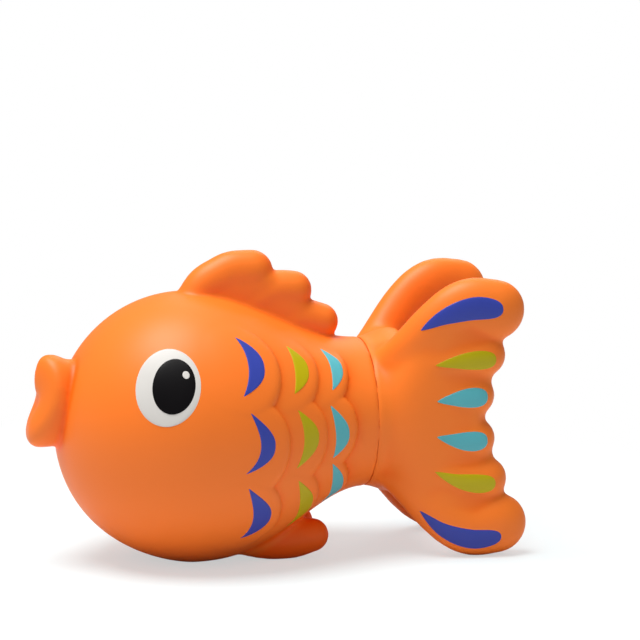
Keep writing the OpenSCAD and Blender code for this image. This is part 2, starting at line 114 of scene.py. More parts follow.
# The walls light the toy, and the camera sees them as plain white.
studio = bpy.data.worlds.new("studio_walls")
bpy.context.scene.world = studio
studio.use_nodes = True
walls = studio.node_tree
walls.nodes.clear()
world_out = walls.nodes.new("ShaderNodeOutputWorld")
lit = walls.nodes.new("ShaderNodeBackground")
lit.inputs["Color"].default_value = (1, 1, 1, 1)
lit.inputs["Strength"].default_value = wall_level
seen = walls.nodes.new("ShaderNodeBackground")
seen.inputs["Color"].default_value = (1, 1, 1, 1)
seen.inputs["Strength"].default_value = 1
paths = walls.nodes.new("ShaderNodeLightPath")
pick = walls.nodes.new("ShaderNodeMixShader")
walls.links.new(paths.outputs["Is Camera Ray"], pick.inputs["Fac"])
walls.links.new(lit.outputs["Background"], pick.inputs[1])
walls.links.new(seen.outputs["Background"], pick.inputs[2])
walls.links.new(pick.outputs["Shader"], world_out.inputs["Surface"])


# Materials are written as sums on sockets. This wraps one socket, so that an expression on it
# adds the Math nodes that it needs.
class Value:
    def __init__(self, tree, socket):
        self.tree = tree
        self.socket = socket

    def _join(self, operation, a, b):
        node = self.tree.nodes.new("ShaderNodeMath")
        node.operation = operation
        for place, part in zip(node.inputs, (a, b)):
            if isinstance(part, Value):
                self.tree.links.new(part.socket, place)
            else:
                place.default_value = part
        return Value(self.tree, node.outputs[0])

    def __add__(self, other):
        return self._join("ADD", self, other)

    def __radd__(self, other):
        return self._join("ADD", other, self)

    def __sub__(self, other):
        return self._join("SUBTRACT", self, other)

    def __mul__(self, other):
        return self._join("MULTIPLY", self, other)

    def __rmul__(self, other):
        return self._join("MULTIPLY", other, self)


class Finish:
    """A material under construction, with one method that makes any node."""

    def __init__(self, name):
        self.material = bpy.data.materials.new(name)
        self.material.use_nodes = True
        self.tree = self.material.node_tree
        self.tree.nodes.clear()

    def node(self, kind, settings=None, **sockets):
        """A node with its settings. A socket is given by name, or as i and its number."""
        made = self.tree.nodes.new(kind)
        for key, value in (settings or {}).items():
            setattr(made, key, value)
        for key, value in sockets.items():
            by_number = key[0] == "i" and key[1:].isdigit()
            place = made.inputs[int(key[1:]) if by_number else key.replace("_", " ")]
            if isinstance(value, Value):
                self.tree.links.new(value.socket, place)
            else:
                place.default_value = value
        return made

    def out(self, node, name):
        return Value(self.tree, node.outputs[name])

    def noise(self, scale, detail):
        place = self.out(self.node("ShaderNodeTexCoord"), "Object")
        made = self.node("ShaderNodeTexNoise", Vector=place, Scale=scale, Detail=detail)
        return self.out(made, "Factor" if "Factor" in made.outputs else "Fac")

    def mix(self, share, a, b):
        made = self.node("ShaderNodeMix", {"data_type": "RGBA"}, i0=share, i6=a, i7=b)
        return Value(self.tree, made.outputs[2])

    def bump(self, grain, strength, distance):
        made = self.node(
            "ShaderNodeBump", None, Height=grain, Strength=strength, Distance=distance
        )
        return self.out(made, "Normal")

    def shader(self, colour, roughness, normal, **constants):
        made = self.node("ShaderNodeBsdfPrincipled", None, Base_Color=colour, Roughness=roughness)
        self.tree.links.new(normal.socket, made.inputs["Normal"])
        for key, value in constants.items():
            made.inputs[key.replace("_", " ")].default_value = value
        end = self.node("ShaderNodeOutputMaterial")
        self.tree.links.new(made.outputs["BSDF"], end.inputs["Surface"])
        return self.material


def paint_box(red, green, blue):
    """The linear colour of a screen colour, 0 to 255."""

    def linear(level):
        share = level / 255
        return share / 12.92 if share <= 0.04045 else ((share + 0.055) / 1.055) ** 2.4

    return (linear(red), linear(green), linear(blue), 1)


# Body: head, belly, back fin, belly fins and lips, slush-moulded in one hollow shell of soft
# vinyl about 2 mm thick. Its scales stand out of the flanks, and a flat pad is cut under it.
seam = Vector(frame["joints"][0]["pos_m"])
body_low, body_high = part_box("body_shell")
head_length = 37 * mm
body_length = seam.x
neck_radius = 21 * mm
body_height = 76 * mm
body_width = body_high.y - body_low.y
pad_cut = 1 * mm
head_z = body_height / 2 - pad_cut
wall = 2 * mm
neck_spare = 4 * mm
chin_tuck = 0.022


def fade(share, ease):
    return (1 + math.cos(math.pi * share**ease)) / 2


def body_section(x, inset=0.0):
    """(middle z, half width, half height) of the body at x."""
    share = min(1, max(0, x / body_length))
    up = neck_radius + (body_height / 2 - neck_radius) * fade(share, 1.0) - inset
    down = neck_radius + (body_height / 2 - neck_radius) * fade(share, 1.3) - inset
    wide = neck_radius + (body_width / 2 - neck_radius) * fade(share, 1.15) - inset
    if x < 0:
        nose = math.sqrt(max(0, 1 - (x / (head_length - inset)) ** 2))
        tuck = 1 - chin_tuck * math.sin(math.pi * min(1, -x / head_length))
        up, down, wide = up * nose, down * nose * tuck, wide * nose
    axis = head_z + (seam.z - head_z) * (1 - fade(share, 1.0))
    return axis + (up - down) / 2, wide, (up + down) / 2


def on_body(x, turn, lift=0.0):
    """A point of the right flank, turn radians above its middle, and the way out of it."""

    def place(x, turn):
        middle, wide, high = body_section(x)
        return Vector((x, wide * math.cos(turn), middle + high * math.sin(turn)))

    step = 0.05 * mm
    across = place(x, turn + 0.01) - place(x, turn - 0.01)
    along = place(x + step, turn) - place(x - step, turn)
    outward = across.cross(along).normalized()
    return place(x, turn) + outward * lift, outward


def shaped_ball(name, segments, rings, place):
    """A ball whose points are moved to place(share from pole to pole, angle round)."""
    bpy.ops.object.select_all(action="DESELECT")
    bpy.ops.mesh.primitive_uv_sphere_add(segments=segments, ring_count=rings, radius=1)
    ball = bpy.context.object
    ball.name = name
    for point in ball.data.vertices:
        share = math.acos(max(-1, min(1, point.co.z))) / math.pi
        point.co = place(share, math.atan2(point.co.y, point.co.x))
    return ball


def body_place(inset, rear_x, rings):
    """Moves a ball's points onto the body, drawn in by inset, with a flat end at rear_x."""

    def place(share, angle):
        if share <= 0.5:
            x = -(head_length - inset) * math.cos(math.pi * share)
        else:
            x = min(1, (share - 0.5) / (0.5 - 1 / rings)) * rear_x
        middle, wide, high = body_section(x, inset)
        if share > 1 - 0.5 / rings:
            wide = high = 0
        return Vector((x, wide * math.sin(angle), middle + high * math.cos(angle)))

    return place


def flowing(rows, spot):
    """A smooth curve through rows of numbers, at spot counted in rows."""
    last = len(rows) - 1
    i = min(last - 1, max(0, int(spot)))
    t = spot - i
    a, b, c, d = rows[max(0, i - 1)], rows[i], rows[i + 1], rows[min(last, i + 2)]
    return [
        (
            2 * q
            + (r - p) * t
            + (2 * p - 5 * q + 4 * r - s) * t * t
            + (3 * q - p - 3 * r + s) * t**3
        )
        / 2
        for p, q, r, s in zip(a, b, c, d)
    ]


def heading(rows, low, high):
    """The direction, in the curve's first two numbers, from its spot low to its spot high."""
    before, after = flowing(rows, low), flowing(rows, high)
    return Vector((after[0] - before[0], after[1] - before[1])).normalized()


def finger(name, stations, segments=40, rings=60, roundness=1.0):
    """A tube with a round tip through stations [x, z, half height, y, half thickness] in mm. A
    roundness under 1 squares its section."""
    last = len(stations) - 1
    tip_share = 0.25
    step = 0.05

    def place(share, angle):
        run = min(1, share / (1 - tip_share))
        reach = max(0, share - 1 + tip_share) / tip_share * math.pi / 2
        x, z, high, y, thick = flowing(stations, run * last)
        ahead = heading(stations, max(0, run * last - step), min(last, run * last + step))
        if share < 0.5 / rings:
            high = thick = 0
        across, out = (
            math.copysign(abs(turn) ** roundness, turn)
            for turn in (math.cos(angle), math.sin(angle))
        )
        side = high * math.cos(reach) * across
        return mm * Vector(
            (
                x - ahead.y * side + ahead.x * high * math.sin(reach),
                y + thick * math.cos(reach) * out,
                z + ahead.x * side + ahead.y * high * math.sin(reach),
            )
        )

    return shaped_ball(name, segments, rings, place)


def select_only(active, *others):
    """Selects pieces, and no other, and makes the first one active."""
    bpy.ops.object.select_all(action="DESELECT")
    for piece in (active, *others):
        piece.select_set(True)
    bpy.context.view_layer.objects.active = active


def turn_faces(piece, inside=False, merge=False):
    """Turns the faces of a closed piece outwards or inwards, after merging doubled points."""
    select_only(piece)
    bpy.ops.object.mode_set(mode="EDIT")
    bpy.ops.mesh.select_all(action="SELECT")
    if merge:
        bpy.ops.mesh.remove_doubles(threshold=0.01 * mm)
    bpy.ops.mesh.normals_make_consistent(inside=inside)
    bpy.ops.object.mode_set(mode="OBJECT")


def modify(piece, kind, **settings):
    """Adds a modifier to a piece and applies it."""
    bpy.context.view_layer.objects.active = piece
    made = piece.modifiers.new(kind, kind)
    for key, value in settings.items():
        setattr(made, key, value)
    bpy.ops.object.modifier_apply(modifier=made.name)


def combine(skin, operation, other):
    """Cuts another piece out of a skin, or adds it, and removes that piece."""
    modify(skin, "BOOLEAN", operation=operation, solver="EXACT", object=other)
    bpy.data.objects.remove(other)


def weld(name, parts, voxel, passes):
    """Joins parts, melts them into one skin and eases it."""
    select_only(*parts)
    bpy.ops.object.join()
    skin = bpy.context.object
    skin.name = name
    skin.data.name = name
    turn_faces(skin)
    modify(skin, "REMESH", mode="VOXEL", voxel_size=voxel)
    modify(skin, "SMOOTH", factor=0.5, iterations=passes)
    return skin


def cut_flat(skin, place, outward):
    """Cuts a skin flat and closes the cut."""
    select_only(skin)
    bpy.ops.object.mode_set(mode="EDIT")
    bpy.ops.mesh.select_all(action="SELECT")
    bpy.ops.mesh.bisect(plane_co=place, plane_no=outward, use_fill=True, clear_outer=True)
    bpy.ops.object.mode_set(mode="OBJECT")


def drill(skin, radius, low, high):
    """Cuts a round hole of that radius between two points through a skin."""
    low, high = Vector(low), Vector(high)
    bpy.ops.object.select_all(action="DESELECT")
    bpy.ops.mesh.primitive_cylinder_add(
        vertices=96,
        radius=radius,
        depth=(high - low).length,
        location=(low + high) / 2,
        rotation=(high - low).to_track_quat("Z", "Y").to_euler(),
    )
    bit = bpy.context.object
    bpy.ops.object.transform_apply(location=True, rotation=True, scale=True)
    combine(skin, "DIFFERENCE", bit)


head_rings = 96
core = shaped_ball("core", 144, head_rings, body_place(0, body_length + neck_spare, head_rings))

# The lips swell out of the head and turn in to a shallow mouth: each row is the share of their
# width and height, and the share of the way out of the nose.
lip_rows = [
    [0.0, -1.0], [0.8, -1.0], [0.88, -0.2], [0.94, 0.05], [0.985, 0.26], [1.0, 0.5], [0.985, 0.74],
    [0.88, 0.93], [0.68, 1.0], [0.46, 0.99], [0.3, 0.93], [0.15, 0.84], [0.0, 0.8],
]
lip_z = 46.1 * mm
lip_height = 25.8 * mm
lip_width = 17 * mm
lip_reach = 7 * mm
lip_lean = 1.8 * mm
lip_corner = 4.4 * mm
lip_waist = math.radians(14)
lip_sink = 2 * mm
lip_root = -head_length + lip_sink


def lip_place(share, angle):
    size, out = flowing(lip_rows, (1 - share) * (len(lip_rows) - 1))
    size = max(0, size)
    ahead = max(0, out)
    up, aside = math.cos(angle), math.sin(angle)
    corner = math.sin(abs(math.atan2(aside, up)) + lip_waist) ** 2
    lean = (lip_lean * up + lip_corner * corner) * size * ahead
    return Vector(
        (
            lip_root - (lip_reach + lip_sink) * out + lean,
            lip_width / 2 * size * aside,
            lip_z + lip_height / 2 * size * up,
        )
    )


lips = shaped_ball("lips", 64, 48, lip_place)

# Back fin: three rounded fingers on a web. A row is [x, height above the back, half height].
fin_rise = 15.7
fin_half = 4.8
fin_root = 5.5


def back_z(x):
    """The height of the back at x, both in mm."""
    middle, _, high = body_section(x * mm)
    return (middle + high) / mm


def fin_row(x, rise, high):
    return [x, back_z(x) + rise, high, 0, fin_half]


back_fin = [
    finger(
        "fin_front",
        [
            fin_row(0.3, fin_rise - 20.0, 4.4),
            fin_row(4.9, fin_rise - 14.0, 5.25),
            fin_row(9.8, fin_rise - 10.6, 5.9),
            fin_row(13.4, fin_rise - 8.4, 6.2),
            fin_row(18.6, fin_rise - 6.2, 6.2),
        ],
    ),
    finger(
        "fin_middle",
        [
            fin_row(12, -fin_root, 6),
            fin_row(23.5, fin_rise - 9.9, 5.6),
            fin_row(30.4, fin_rise - 6.4, 5.5),
        ],
    ),
    finger(
        "fin_rear",
        [
            fin_row(23, -fin_root, 6),
            fin_row(31, fin_rise - 14, 5.6),
            fin_row(38.3, fin_rise - 12.5, 5.2),
        ],
    ),
]

# A web almost as thick as the fingers fills the fin up to the soft valleys near its edge.
fin_web = finger(
    "fin_web",
    [
        [7, back_z(7) - 3.0, 5.0, 0, 4.2],
        [13, back_z(13) + 3.0, 7.6, 0, 4.6],
        [21, back_z(21) + 3.6, 8.0, 0, 4.6],
        [28, back_z(28) + 2.2, 7.0, 0, 4.6],
        [34, back_z(34) - 0.2, 5.6, 0, 4.4],
    ],
    roundness=0.6,
)

# Belly fins: a pair of smooth lobes that lie back along the floor.
belly_fin_z = 5.4
belly_fin_y = 9.0
belly_fins = [
    finger(
        "belly_fin",
        [
            [10, belly_fin_z + 3, 5.6, side * belly_fin_y, 4.2],
            [20, belly_fin_z + 0.3, 5.6, side * belly_fin_y, 4.2],
            [28, belly_fin_z, 5.6, side * belly_fin_y, 4.2],
            [33.7, belly_fin_z + 0.7, 4.8, side * belly_fin_y, 4.2],
        ],
    )
    for side in (-1, 1)
]

body_voxel = 0.6 * mm
body_skin = weld("goldfish_body", [core, lips, fin_web, *back_fin, *belly_fins], body_voxel, 10)

# Scales: three columns of three a side, each rising to its rear edge and rolling off into a crease.
# A column is [rear edge x, radius along the body, angle between rows]. The rows above and below
# the middle one lie a little ahead of it.
scale_columns = [[21.2, 10.5, 35], [33.2, 9.5, 39], [42.6, 8.4, 42]]
scale_overlap = 1.22
scale_lead = 1.6 * mm
scale_rise = 1.35 * mm
scale_edge = 1.7 * mm
scale_crease = 0.6
scale_end = math.radians(44), math.radians(64)


def step_up(low, high, value):
    share = min(1, max(0, (value - low) / (high - low)))
    return share * share * (3 - 2 * share)


def relief(x, turn):
    """How far the scales lift the skin at x, turn radians above the middle of the flank."""
    most = 0.0
    for rear, radius, pitch in scale_columns:
        rear, radius, pitch = rear * mm, radius * mm, math.radians(pitch)
        for row in (-1, 0, 1):
            along = (x - rear + radius + scale_lead * abs(row)) / radius
            across = (turn - row * pitch) / (pitch / 2 * scale_overlap)
            reach = math.hypot(along, across)
            soft = scale_edge / radius
            rolled = (reach - 1 + soft) / (soft * (1 + scale_crease))
            if rolled < 1:
                share = min(1, max(0, (along + 1) / 2))
                edge = math.sqrt(1 - max(0, rolled) ** 2)
                most = max(most, scale_rise * share**1.6 * edge)
    return most * (1 - step_up(*scale_end, abs(turn)))


# Only the skin of the flanks is lifted: not the fins, which stand clear of it, nor the back.
scales_front, scales_rear = -1 * mm, 45 * mm
flank_end = math.radians(75)
skin_near, skin_far = 0.5 * mm, 1.6 * mm
for point in body_skin.data.vertices:
    x, y, z = point.co
    if scales_front < x < scales_rear:
        middle, wide, high = body_section(x)
        turn = math.atan2((z - middle) / high, abs(y) / wide)
        if abs(turn) < flank_end:
            spot, outward = on_body(x, turn)
            if y < 0:
                spot.y, outward.y = -spot.y, -outward.y
            near = 1 - step_up(skin_near, skin_far, (point.co - spot).length)
            point.co += outward * (relief(x, turn) * near)

cut_flat(body_skin, (body_length, 0, 0), (1, 0, 0))
cut_flat(body_skin, (0, 0, 0), (0, 0, -1))


rim_width = 0.9 * mm
rim_depth = 0.35 * mm
rim_inside = neck_radius - 1 * mm


def round_seam(skin):
    """Eases the skin's rim in towards the neck's axis beside the seam."""
    for point in skin.data.vertices:
        near = 1 - abs(point.co.x - body_length) / rim_width
        out = Vector((0, point.co.y, point.co.z - seam.z))
        if near > 0 and out.length > rim_inside:
            point.co -= out.normalized() * rim_depth * near * near


round_seam(body_skin)


def hollow(skin, inner):
    """Puts an inner wall, facing the hollow, inside a closed skin."""
    turn_faces(inner, inside=True)
    select_only(skin, inner)
    bpy.ops.object.join()


# The neck's bore, and the seat of the squeaker, drilled up through the belly pad.
end_wall = 4 * mm
plug_radius = 13 * mm
running_gap = 0.08 * mm
squeaker_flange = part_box("squeaker_housing")[1].x
squeaker_radius = 4.5 * mm
seat_gap = 0.05 * mm
flange_depth = 0.95 * mm
boss_height = 6 * mm

cavity_rings = 32
cavity = shaped_ball(
    "cavity", 64, cavity_rings, body_place(wall, body_length - end_wall, cavity_rings)
)
hollow(body_skin, cavity)
drill(
    body_skin,
    plug_radius + running_gap,
    (body_length - end_wall - 1 * mm, 0, seam.z),
    (body_length + 1 * mm, 0, seam.z),
)
drill(body_skin, squeaker_flange + seat_gap, (0, 0, -1 * mm), (0, 0, flange_depth))
drill(body_skin, squeaker_radius + seat_gap, (0, 0, -1 * mm), (0, 0, boss_height))


def outer_tree(skin):
    """A finder of places on a skin, from outside."""
    shape = bmesh.new()
    shape.from_mesh(skin.data)
    tree = BVHTree.FromBMesh(shape)
    shape.free()
    return tree


def smooth_shaded(piece, degrees):
    """Shades a piece smooth, apart from edges sharper than degrees."""
    select_only(piece)
    bpy.ops.object.shade_smooth_by_angle(angle=math.radians(degrees))


def mark_painted_shade(skin, reach, rounds, shade_of):
    """Writes painted shade to a point attribute that the vinyl reads: the share of how deep each
    point lies in a valley that the given function keeps, or the painted shade that function sets
    there, whichever is more. That function gives the kept share and its own painted shade."""
    mesh = skin.data
    count = len(mesh.vertices)
    places = numpy.empty(count * 3)
    outward = numpy.empty(count * 3)
    ends = numpy.empty(len(mesh.edges) * 2, dtype=numpy.int32)
    mesh.vertices.foreach_get("co", places)
    mesh.vertex_normals.foreach_get("vector", outward)
    mesh.edges.foreach_get("vertices", ends)
    places, outward = places.reshape(-1, 3), outward.reshape(-1, 3)
    here = numpy.concatenate([ends[0::2], ends[1::2]])
    there = numpy.concatenate([ends[1::2], ends[0::2]])
    near = numpy.maximum(1, numpy.bincount(here, minlength=count))
    eased = places
    for _ in range(rounds):
        eased = numpy.stack(
            [numpy.bincount(here, eased[there, axis], count) / near for axis in range(3)], axis=1
        )
    depth = numpy.clip(((eased - places) * outward).sum(axis=1) / reach, 0, 1)
    share = []
    for deep, place, way in zip(depth, places, outward):
        kept, shade_share = shade_of(Vector(place), Vector(way))
        share.append(max(deep * kept, shade_share))
    note = mesh.attributes.new("painted_shade", "FLOAT", "POINT")
    note.data.foreach_set("value", share)


def soft_vinyl(name, lit, deep):
    """Satin vinyl: a deeper orange painted as shade where the point attribute marks it, with a
    faint cloud and fine grain.
    """
    finish = Finish(name)
    painted_shade = finish.out(finish.node("ShaderNodeAttribute", {"attribute_name": "painted_shade"}), "Fac")
    cloud = finish.noise(scale=45, detail=2)
    grain = finish.noise(scale=1400, detail=3)
    # Painted shade: the lit colour runs to the deep colour by the marked shade.
    colour = finish.mix(painted_shade, paint_box(*lit), paint_box(*deep))
    colour = finish.mix((cloud - 0.35) * 0.12, colour, paint_box(*cloud_orange))
    return finish.shader(
        colour,
        0.40 + 0.08 * cloud + 0.05 * grain,
        finish.bump(grain, strength=0.05, distance=0.0002),
        Specular_IOR_Level=0.32,
    )


# The vinyl's own orange, a deeper orange painted as shade in valleys, on the belly fins and on
# faces turned from the light, and the orange of its faint random cloud. The valley settings say how
# deep a hollow takes full painted shade. The back fin's rear faces get painted shade, and its root
# loses most of its valley shade.
body_orange = (255, 126, 38)
shade_orange = (255, 103, 0)
cloud_orange = (255, 142, 60)
valley_depth = 0.4 * mm
valley_rounds = 24
fin_painted_shade = 0.7
fin_valleys_lost = 0.7


def body_painted_shade(place, outward):
    """Painted shade: deeper orange on the belly fins, in the body's shadow, and on the rear faces
    of the back fin, turned away from the light. The fin's root keeps little of the depth of its
    valleys."""
    if not -6 * mm < place.x < body_length:
        return 1, 0
    middle, wide, high = body_section(place.x)
    clear = math.hypot(place.y / wide, (place.z - middle) / high) - 1
    if place.z < 2 * belly_fin_z * mm and place.z < middle:
        return 1, step_up(0.02, 0.1, clear)
    if place.z > middle:
        fin_near = 1 - step_up((fin_half + 1) * mm, (fin_half + 4) * mm, abs(place.y))
        shade_share = fin_painted_shade * step_up(0.0, 0.06, clear) * step_up(0.1, 0.9, outward.x)
        return 1 - fin_valleys_lost * fin_near, shade_share * fin_near
    return 1, 0


# Painted shade on the body: its valleys, the belly fins and the back fin's rear faces.
mark_painted_shade(body_skin, valley_depth, valley_rounds, body_painted_shade)
body_skin.data.materials.clear()
body_skin.data.materials.append(soft_vinyl("body_vinyl", body_orange, shade_orange))
smooth_shaded(body_skin, 35)
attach(body_skin, "body")
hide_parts("body_shell")
body_finder = outer_tree(body_skin)

# Eyes: a white oval, a black pupil and a small white catchlight, printed one on another on each
# side of the head. Each layer of paint is a film with its edges drawn down to the vinyl, over
# film_end rows at its two ends.
film_thickness = 0.12 * mm
film_sink = 0.15 * mm
film_end = 1.5
film_steps = [0, 0.03, 0.09, 0.25, 0.5, 0.75, 0.91, 0.97, 1]
film_lifts = [0, 0.7, 1, 1, 1, 1, 1, 0.7, 0]


def satin_paint(name, colour, shade, shine=0.28):
    """Printed paint: even colour with a faint unevenness, a little glossier than the vinyl."""
    finish = Finish(name)
    cloud = finish.noise(scale=120, detail=2)
    grain = finish.noise(scale=1800, detail=2)
    tint = finish.mix((cloud - 0.3) * 0.5, paint_box(*colour), paint_box(*shade))
    return finish.shader(
        tint,
        0.36 + 0.06 * cloud,
        finish.bump(grain, strength=0.04, distance=0.0002),
        Specular_IOR_Level=shine,
    )


def new_piece(name, points, edges, faces):
    """A piece of that geometry, on the scene."""
    mesh = bpy.data.meshes.new(name)
    mesh.from_pydata(points, edges, faces)
    piece = bpy.data.objects.new(name, mesh)
    bpy.context.scene.collection.objects.link(piece)
    return piece


def film(name, finder, marks, base_lift, material, body, node, slot):
    """Lays paint on a skin. Each mark is a list of rows, and a row is two edges, each
    (a place outside the skin, the way in)."""
    points, faces = [], []
    across = len(film_steps)
    for rows in marks:
        first = len(points)
        for layer in (0, 1):
            for i, (left, right) in enumerate(rows):
                end = min(1, min(i, len(rows) - 1 - i) / film_end)
                for step, lift in zip(film_steps, film_lifts):
                    start = left[0].lerp(right[0], step)
                    inward = left[1].lerp(right[1], step).normalized()
                    spot = finder.ray_cast(start, inward)[0]
                    if layer == 0:
                        rise = base_lift + film_thickness * min(lift, end)
                    else:
                        rise = base_lift - film_sink
                    points.append(spot - inward * rise)

        def top(i, j):
            return first + i * across + j

        def low(i, j):
            return first + (len(rows) + i) * across + j

        last_row, last_step = len(rows) - 1, across - 1
        for i in range(last_row):
            for j in range(last_step):
                faces.append((top(i, j), top(i, j + 1), top(i + 1, j + 1), top(i + 1, j)))
                faces.append((low(i, j), low(i + 1, j), low(i + 1, j + 1), low(i, j + 1)))
            for j in (0, last_step):
                faces.append((top(i, j), top(i + 1, j), low(i + 1, j), low(i, j)))
        for j in range(last_step):
            for i in (0, last_row):
                faces.append((top(i, j), low(i, j), low(i, j + 1), top(i, j + 1)))
    piece = new_piece(name, points, [], faces)
    turn_faces(piece, merge=True)
    piece.data.materials.append(material)
    smooth_shaded(piece, 50)
    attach(piece, body)
    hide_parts(node)


outside = 6 * mm


def from_outside(x, turn, side):
    """A place outside the flank at x and turn, and the way in. side is -1 on the left."""
    spot, outward = on_body(x, turn, outside)
    start = Vector((spot.x, side * spot.y, spot.z))
    return start, Vector((-outward.x, -side * outward.y, -outward.z))


def flank_turn(x, z):
    """How far round the flank the height z lies at x, in radians above its middle."""
    middle, _, high = body_section(x)
    return math.asin(max(-1, min(1, (z - middle) / high)))


def oval(centre, length, height, lean, side, steps=36):
    """Rows of an upright oval on the head, whose top leans back by lean mm."""
    rows = []
    for i in range(steps + 1):
        rise = math.pi * (i / steps - 0.5) * 0.998
        z = centre[1] + height / 2 * math.sin(rise)
        middle = centre[0] + lean * math.sin(rise)
        half = length / 2 * math.cos(rise)
        row = []
        for way in (-1, 1):
            x = (middle + way * half) * mm
            row.append(from_outside(x, flank_turn(x, z * mm), side))
        rows.append(row)
    return rows


white_paint = satin_paint("white_paint", (217, 214, 209), (206, 202, 196))
black_paint = satin_paint("black_paint", (10, 8, 10), (17, 14, 16), 0.12)
sides = ((-1, "left"), (1, "right"))
eye_layers = [
    ("eye_white", (-11.3, 53.65), 16.8, 19.7, 1.6, white_paint, "white_paint"),
    ("pupil", (-9.9, 54.1), 11.2, 14.0, 1.2, black_paint, "black_paint"),
    ("catchlight", (-6.5, 57.1), 1.9, 1.9, 0.0, white_paint, "white_paint"),
]
for side, word in sides:
    for order, (layer, centre, length, height, lean, paint, slot) in enumerate(eye_layers):
        film(
            f"printed_{layer}_{word}",
            body_finder,
            [oval(centre, length, height, lean, side)],
            order * film_thickness,
            paint,
            "body",
            f"{layer}_{word}",
            slot,
        )

# Crescents: one printed on the rear of each scale, blue, then green, then teal towards the tail.
# A row is [middle and half angle round the body, x of the tips, rear bulge, front bulge, how far
# the upper tip lies back, how far the bulge hangs], from the top of the flank down.
blue_paint = satin_paint("blue_paint", (56, 72, 172), (46, 60, 148))
green_paint = satin_paint("green_paint", (192, 178, 0), (170, 156, 0))
teal_paint = satin_paint("teal_paint", (92, 184, 194), (74, 166, 182))
crescent_rows = [
    (
        "blue",
        blue_paint,
        [
            [36.5, 14, 8.8, 6.6, 2.3, 0, 0],
            [2.5, 12.9, 9.7, 7.4, 3.5, 0.8, 0.18],
            [-31.5, 14.3, 9.7, 7.3, 2.4, 0.2, 0.2],
        ],
    ),
    (
        "green",
        green_paint,
        [
            [39, 13.8, 24.1, 4.9, 1, 0, 0],
            [2, 14.7, 24.5, 6.1, 1.9, 0.3, 0.1],
            [-39.3, 19, 24.8, 5.5, 1.7, 0.2, 0.16],
        ],
    ),
    (
        "teal",
        teal_paint,
        [
            [43.5, 16, 35.7, 4.2, 0.9, -0.4, 0],
            [1, 16.7, 35.5, 4.8, 1, -0.3, 0.18],
            [-40.5, 20.5, 35.8, 4.1, 0.8, 0, 0.12],
        ],
    ),
]


def crescent(shape, side, steps=28):
    """Rows of a crescent from its lower tip to its upper tip."""
    middle, half_angle, tips, rear_bulge, front_bulge, back, hang = shape
    rows = []
    for i in range(steps + 1):
        s = 2 * i / steps - 1
        bow = abs(s + hang * (1 - s * s))
        turn = math.radians(middle + s * half_angle)
        rows.append(
            [
                from_outside((tips + s * back + bulge * (1 - bow**full) + sharp) * mm, turn, side)
                for bulge, full, sharp in ((front_bulge, 2.0, -0.1), (rear_bulge, 2.4, 0.1))
            ]
        )
    return rows


for side, word in sides:
    for colour, paint, shapes in crescent_rows:
        film(
            f"printed_{colour}_crescents_{word}",
            body_finder,
            [crescent(shape, side) for shape in shapes],
            0,
            paint,
            "body",
            f"{colour}_scale_marks_{word}",
            f"{colour}_paint",
        )

# Tail: a second hollow moulding, a short hub that splits into two fans of six soft fingers each.
# A finger's row is [x behind the seam, height above the neck's axis, half height, share of the
# fan's distance from the middle, share of its thickness]. A fan leans a little ahead.
fan_y = 17.0
fan_half = 5.4
fan_lean = 0.016
seam_x = body_length / mm
neck_z = seam.z / mm
fan_z = neck_z + 0.25
tail_gap = 0.2 * mm
fan_fingers = [
    [
        [5, 12, 6.6, 0.56, 1.05],
        [10.8, 18.9, 6.4, 0.8, 1.05],
        [18.7, 26.5, 7.5, 0.98, 1.0],
        [26.6, 30.9, 8.4, 1.06, 1.02],
        [34.2, 30.3, 8.6, 1.12, 0.98],
    ],
    [
        [5, 7, 5.0, 0.78, 0.9],
        [14, 13.6, 6.0, 0.94, 1.0],
        [24, 16.8, 6.2, 1.02, 1.0],
        [31.4, 17.5, 6.0, 1.06, 0.98],
    ],
    [
        [5, 3, 4.6, 0.8, 0.9],
        [14, 4.8, 5.4, 0.94, 1.0],
        [22, 5.7, 5.8, 1.0, 1.0],
        [28.5, 6.1, 5.8, 1.02, 0.98],
    ],
]
# A thinner web, in the same kind of rows, fills a fan up to the valleys between its fingers.
fan_web = [
    [26, -29, 8.6, 1.1, 0.66],
    [25, -22, 11.4, 1.06, 0.7],
    [24, -11.5, 9.6, 1.02, 0.72],
    [24, 0, 7.4, 1.0, 0.72],
    [24, 11.5, 9.6, 1.02, 0.72],
    [25, 22, 11.4, 1.06, 0.7],
    [26, 29, 8.6, 1.1, 0.66],
]


def fan_stations(rows, way, side):
    """A finger's rows as stations. way is 1 in the upper half of a fan and -1 in the lower."""
    return [
        [
            seam_x + x - fan_lean * way * z,
            fan_z + way * z,
            high,
            side * fan_y * share,
            fan_half * thick,
        ]
        for x, z, high, share, thick in rows
    ]


# A fan's palm joins its fingers to the hub. A row is [x behind the seam, share of the fan's
# distance from the middle, half thickness, half height]. The hub's is [x, half width, half height].
palm_rows = [
    [-3, 0.5, 10, 14],
    [0, 0.54, 10.5, 15.6],
    [4, 0.64, 10.0, 17],
    [9, 0.8, 8.6, 22.8],
    [15, 0.95, 6.2, 29.5],
    [22, 1.03, 4.5, 31.5],
    [29, 1.08, 3.2, 28],
]
hub_rows = [
    [-3, 21, 21],
    [0, 21, 21],
    [2.5, 21, 21.4],
    [5, 20.5, 22.6],
    [8, 19.4, 23.6],
    [11, 17, 23.4],
    [13.5, 12.5, 19],
    [15.5, 6, 10],
]


def capped(rows, rings, spread):
    """Moves a ball's points onto rings through rows, with flat ends."""

    def place(share, angle):
        run = min(1, max(0, (share - 1 / rings) / (1 - 2 / rings)))
        here = flowing(rows, run * (len(rows) - 1))
        size = 0 if share < 0.5 / rings or share > 1 - 0.5 / rings else 1
        return spread(here, size * math.sin(angle), size * math.cos(angle))

    return place


